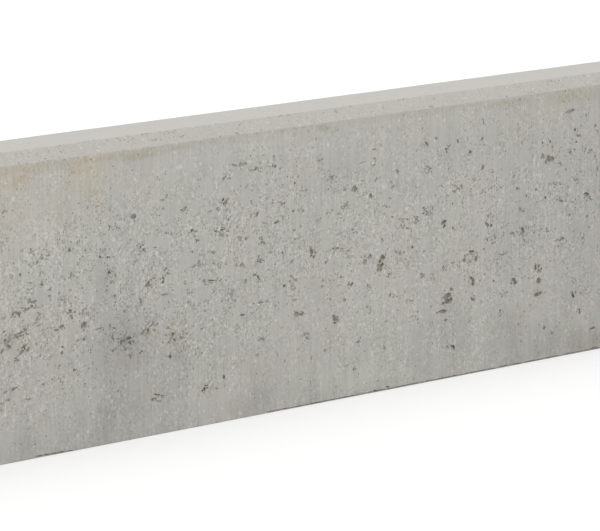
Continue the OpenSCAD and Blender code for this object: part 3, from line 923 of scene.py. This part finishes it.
class Concrete(Tree):
    """The nodes of dry-cast concrete, from its mix and the kinds of face to its stains and painted shade.
    """

    def __init__(self, name):
        super().__init__(name)
        coordinates = self.node("TexCoord").outputs
        self.where = coordinates["Object"]
        self.x, self.y, self.z = self.split(self.where)
        self.tell_faces(*self.split(coordinates["Normal"]))
        self.tell_mix()

    def tell_faces(self, _, facing_back, facing_up):
        """The struck top, the chamfer, the upright faces, the front face and what shows of it."""
        self.top = self.ramp(facing_up, 0.85, 0.95)
        self.upright = self.ramp(self.calc("ABSOLUTE", facing_up), 0.5, 0.2)
        self.front = self.ramp(facing_back, -0.7, -0.9)
        self.shown = self.times(self.front, self.ramp(self.calc("ABSOLUTE", self.x), 340 * MM, 290 * MM))
        self.chamfer = self.calc("SUBTRACT", self.ramp(facing_up, 0.3, 0.5), self.top)

    def tell_mix(self):
        """Where the skin is slick over a stone, where it is crusty and where it stayed sandy."""
        where = self.where
        self.bent = self.shake(where, 8 * MM, 14 * MM)
        self.crinkled = self.shake(where, 1 * MM, 1.4 * MM, 1)
        stones = self.ramp(self.cells(self.bent, STONES), 0.5, 0.4)
        self.slick = self.times(stones, self.ramp(self.noise(where, 12 * MM, 1), 0.4, 0.52))
        self.crusty = self.ramp(self.noise(self.bent, 8 * MM, 2), 0.42, 0.6)
        sandy = self.ramp(self.noise(where, 26 * MM, 2), 0.38, 0.62, (0.75, 1.15))
        upper = self.ramp(self.z, 192 * MM, 125 * MM, (0.55, 1))
        lower = self.ramp(self.z, 0, 70 * MM, (0.62, 1))
        sandy = self.times(sandy, upper, lower, self.rest(self.times(self.slick, 0.75)))
        sandy = self.mix(self.chamfer, self.grey(sandy), CHAMFER_SANDY)
        self.sandy = self.mix(self.top, sandy, TOP_SANDY)

    def sand_grain(self):
        return self.add(
            self.wave(self.where, SAND, 0.165, 1, 0.6),
            self.wave(self.stretch(self.where, (1, 1, 0.8)), GRIT, 0.028, 2, 0.6),
            self.wave(self.where, 6 * MM, 0.025, 2, 0.6),
        )

    def blotches(self):
        """Soft unevenness of the skin, stronger near the foot, and stones that show through it."""
        where = self.where
        plates = self.calc("SUBTRACT", self.split(self.cells(self.bent, STONES, "Color"))[0], 0.5)
        fine = self.wave(self.stretch(where, (1, 1, 0.6)), 4.5 * MM, 0.017, 2)
        foot = self.wave(self.stretch(where, (1, 1, 0.5)), 9 * MM, 0.075, 3)
        return self.add(
            self.times(fine, self.ramp(self.z, 80 * MM, 20 * MM, (0.4, 1))),
            self.wave(where, 45 * MM, 0.012, 3),
            self.times(self.times(plates, self.slick, 0.03), self.upright),
            self.times(foot, self.ramp(self.z, 50 * MM, 10 * MM)),
        )

    def streaks(self):
        """The drag streaks that the mould leaves as it is lifted off."""
        dragged = self.stretch(self.where, DRAG)
        return self.add(self.wave(dragged, SAND, 0.042, 1, 0.5), self.wave(dragged, 3 * MM, 0.018, 2, 0.5))

    def plain_skin(self, grain):
        """The skin's colour with its sand grain, its drag streaks, and painted shade that darkens it
        towards the foot.
        """
        # Painted shade: the skin grows a little darker towards the foot, as under light from above
        level = self.ramp(self.z, 20 * MM, 190 * MM, (0.957, 0.995))
        streaks = self.times(self.streaks(), self.upright)
        tone = self.add(level, self.times(grain, self.sandy), streaks, self.blotches())
        skin = self.mix(self.ramp(self.noise(self.where, 30 * MM, 2), 0.4, 0.6), WARM_SKIN, COOL_SKIN)
        skin = self.mix(self.top, skin, TOP_SKIN)
        skin = self.mix(self.chamfer, skin, CHAMFER_SKIN)
        skin = self.mix(self.times(self.crusty, self.upright, 0.5), skin, CRUST_TINT, "MULTIPLY")
        return self.mix(1.0, skin, self.grey(tone), "MULTIPLY")

    def around_voids(self):
        """Where the front face is open round the voids that show."""
        patches = OPEN_PATCHES + CRESCENTS
        spots = [(x, z, 1.5 * width + 3, 1.5 * height + 3, 1) for x, z, width, height, *_ in patches]
        for x, z, width, height, _, dark in HOLES:
            if width * dark > 3:
                spots.append((x, z, 2 * width, 3 * height, 0.7))
        return self.times(self.marks(self.crinkled, spots), self.front)

    def porosity(self):
        """How open the mix stayed."""
        porous = self.ramp(self.noise(self.bent, 22 * MM, 2), 0.4, 0.6, (0.12, 1))
        porous = self.times(porous, self.rest(self.slick))
        porous = self.times(porous, self.calc("MULTIPLY_ADD", self.crusty, 0.6, 0.5))
        upper = self.ramp(self.z, 182 * MM, 140 * MM, (0.2, 1))
        lower = self.ramp(self.z, 20 * MM, 75 * MM, (0, 1))
        porous = self.times(porous, upper, lower)
        porous = self.times(porous, self.calc("MULTIPLY_ADD", self.shown, -0.35, 1))
        return self.times(self.calc("MAXIMUM", porous, self.around_voids()), self.rest(self.top))

    def pores(self):
        """Pores too small to be cut: specks, broad pores, and seams between the gravel."""
        porous = self.porosity()
        broad = self.noise(self.bent, 2.6 * MM, 3, 0.65)
        limit = self.calc("MULTIPLY_ADD", porous, -0.13, 0.78)
        broad = self.ramp(self.calc("SUBTRACT", broad, limit), 0, 0.06)
        seams = self.ramp(self.cells(self.bent, GRAVEL, feature="DISTANCE_TO_EDGE"), 0.07, 0.02)
        seams = self.times(seams, self.ramp(self.noise(self.where, 2.5 * MM, 1), 0.52, 0.62), porous)
        along_top = self.ramp(self.z, 190 * MM, 200 * MM, (0.1, 0.35))
        pecked = self.times(self.ramp(self.noise(self.where, 9 * MM, 1), 0.5, 0.62), along_top)
        crowd = self.grey(self.calc("MULTIPLY_ADD", porous, 0.52, 0.025))
        crowd = self.mix(self.top, self.mix(self.chamfer, crowd, self.grey(pecked)), TOP_PORES)
        specks = self.dots(self.crinkled, 1.9 * MM, crowd, (0.12, 0.32))
        pores = self.calc("MAXIMUM", self.times(specks, 0.72), self.times(broad, 0.6))
        return self.calc("MAXIMUM", pores, self.times(seams, 0.55))

    def pale_grains(self):
        share = self.times(self.add(self.sandy, self.ramp(self.z, 60 * MM, 20 * MM, (0, 0.25))), 0.12)
        place = self.stretch(self.crinkled, (1, 1, 0.7), (0.3, 0.2, 0.1))
        return self.times(self.dots(place, 2.4 * MM, share, (0.15, 0.38)), 0.36)

    def depth(self):
        """How deep a place lies under the nearest of the stone's flat faces."""
        slope = self.add(self.y, self.times(self.z, -1), high.z - CHAMFER - low.y)
        depth = self.times(slope, math.sqrt(0.5))
        sides = ((self.x, low.x, high.x), (self.y, low.y, high.y), (self.z, low.z, high.z))
        for place, start, end in sides:
            depth = self.calc("MINIMUM", depth, self.calc("SUBTRACT", place, start))
            depth = self.calc("MINIMUM", depth, self.calc("SUBTRACT", end, place))
        return depth

    def dirt_and_shade_in_voids(self, skin):
        """Dirt with pale crumbs and painted shade in the voids, darker with depth and full from three
        quarters of a millimetre down.
        """
        hollow = self.node("Attribute", attribute_name=HOLLOW).outputs["Fac"]
        dirt_and_shade = self.mix(self.ramp(self.noise(self.where, 16 * MM, 2), 0.4, 0.6), VOID_DIRT_AND_SHADE, VOID_DUST_AND_SHADE)
        dirt_and_shade = self.mix(self.ramp(self.noise(self.where, 1.3 * MM, 1), 0.44, 0.6), dirt_and_shade, VOID_CRUMBS)
        # Dirt and painted shade: the inside of a void darkens with its depth
        return self.mix(self.times(hollow, self.ramp(self.depth(), 0.02 * MM, 0.75 * MM)), skin, dirt_and_shade)

    def on_front(self, where, spots):
        return self.times(self.marks(where, spots), self.front)

    def stains_and_shade(self, skin):
        """The stains of the front face, painted shade under the chamfer on every upright face and over the
        front face's right end and foot, and damp clouds on the upright faces past what shows.
        """
        skin = self.mix(self.on_front(self.where, BEIGE), skin, BEIGE_TINT, "MULTIPLY")
        for spots, tint in ((OLIVE, OLIVE_TINT), (BROWN, BROWN_TINT), (PINK, PINK_TINT)):
            skin = self.mix(self.on_front(self.bent, spots), skin, tint, "MULTIPLY")
        clouds = self.ramp(self.noise(self.where, 70 * MM, 2), 0.47, 0.65, (0, 0.6))
        clouds = self.times(clouds, self.calc("SUBTRACT", self.upright, self.shown))
        # Damp patches and painted shade on the front face, and damp clouds past what shows
        damp_and_shade = self.calc("MAXIMUM", self.on_front(self.bent, DAMP_AND_SHADE), clouds)
        skin = self.mix(damp_and_shade, skin, DAMP_AND_SHADE_TINT, "MULTIPLY")
        skin = self.mix(self.on_front(self.where, PALE), skin, LIME)
        # A brownish stain and painted shade just under the chamfer: a band on every upright face, and ovals
        # on the front face
        stain_and_shade_band = self.times(self.upright, self.ramp(self.z, 184 * MM, 192 * MM))
        skin = self.mix(self.times(stain_and_shade_band, 0.5), skin, STAIN_AND_SHADE_BAND_TINT, "MULTIPLY")
        return self.mix(self.on_front(self.where, UNDER_CHAMFER_STAIN_AND_SHADE), skin, UNDER_CHAMFER_STAIN_AND_SHADE_TINT, "MULTIPLY")


def cast_concrete():
    """Dry-cast concrete: cement skin with drag streaks, sand grain, pores, dirt and stains, and painted
    shade in its voids, towards its foot and under its chamfer.
    """
    t = Concrete("cast concrete")
    grain = t.sand_grain()
    skin = t.plain_skin(grain)
    skin = t.mix(t.pores(), skin, PORE)
    skin = t.mix(t.pale_grains(), skin, PALE_SAND)
    skin = t.stains_and_shade(t.dirt_and_shade_in_voids(skin))
    relief = {"Height": t.times(grain, 1.6), "Strength": 0.5, "Distance": 0.3 * MM}
    bump = t.node("Bump", relief).outputs[0]
    surface = t.node("BsdfPrincipled", {"Base Color": skin, "Normal": bump})
    surface.inputs["Roughness"].default_value = 0.92
    surface.inputs["Specular IOR Level"].default_value = 0.25
    t.node("OutputMaterial", {"Surface": surface.outputs[0]})
    return t.material


def white_floor():
    """A pale floor that the camera sees as white where no shadow lies on it."""
    t = Tree("pale floor")
    diffuse = t.node("BsdfDiffuse", {"Color": (FLOOR_GREY, FLOOR_GREY, FLOOR_GREY, 1)})
    seen = t.node("LightPath").outputs
    direct = t.calc("MAXIMUM", seen["Is Camera Ray"], seen["Is Glossy Ray"])
    direct = t.calc("MAXIMUM", direct, seen["Is Transmission Ray"])
    glow = t.node("Emission", {"Color": (1, 1, 1, 1), "Strength": t.times(direct, FLOOR_GLOW)})
    both = t.node("AddShader", {0: diffuse.outputs[0], 1: glow.outputs[0]})
    t.node("OutputMaterial", {"Surface": both.outputs[0]})
    return t.material


# The scene


def make_floor():
    select_nothing()
    bpy.ops.mesh.primitive_plane_add(size=FLOOR_WIDTH, location=(0, 0, low.z))
    floor = bpy.context.object
    floor.name = "floor"
    bpy.ops.object.transform_apply(location=True)
    floor.data.materials.append(white_floor())


def light_scene():
    world = bpy.data.worlds.new("white studio")
    world.use_nodes = True
    world.node_tree.nodes["Background"].inputs["Color"].default_value = (1, 1, 1, 1)
    bpy.context.scene.world = world

    select_nothing()
    bpy.ops.object.light_add(type="AREA", location=LAMP_PLACE)
    lamp = bpy.context.object
    lamp.name = "soft box"
    lamp.rotation_euler = (LAMP_TARGET - lamp.location).to_track_quat("-Z", "Y").to_euler()
    lamp.data.shape = "SQUARE"
    lamp.data.size = LAMP_WIDTH
    lamp.data.energy = LAMP_POWER


def set_camera():
    camera = bpy.data.objects.new("camera", bpy.data.cameras.new("camera"))
    bpy.context.scene.collection.objects.link(camera)
    camera.data.lens = LENS
    camera.data.clip_end = FARTHEST_SEEN
    camera.location = CAMERA_PLACE
    camera.rotation_euler = (math.radians(90 - CAMERA_PITCH), 0, math.radians(-CAMERA_YAW))
    bpy.context.scene.camera = camera


bpy.context.scene.view_settings.view_transform = "Standard"
stone = make_stone()
stone.data.materials.clear()
stone.data.materials.append(cast_concrete())
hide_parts("kerb_stone")
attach(stone, "root")
make_floor()
light_scene()
set_camera()
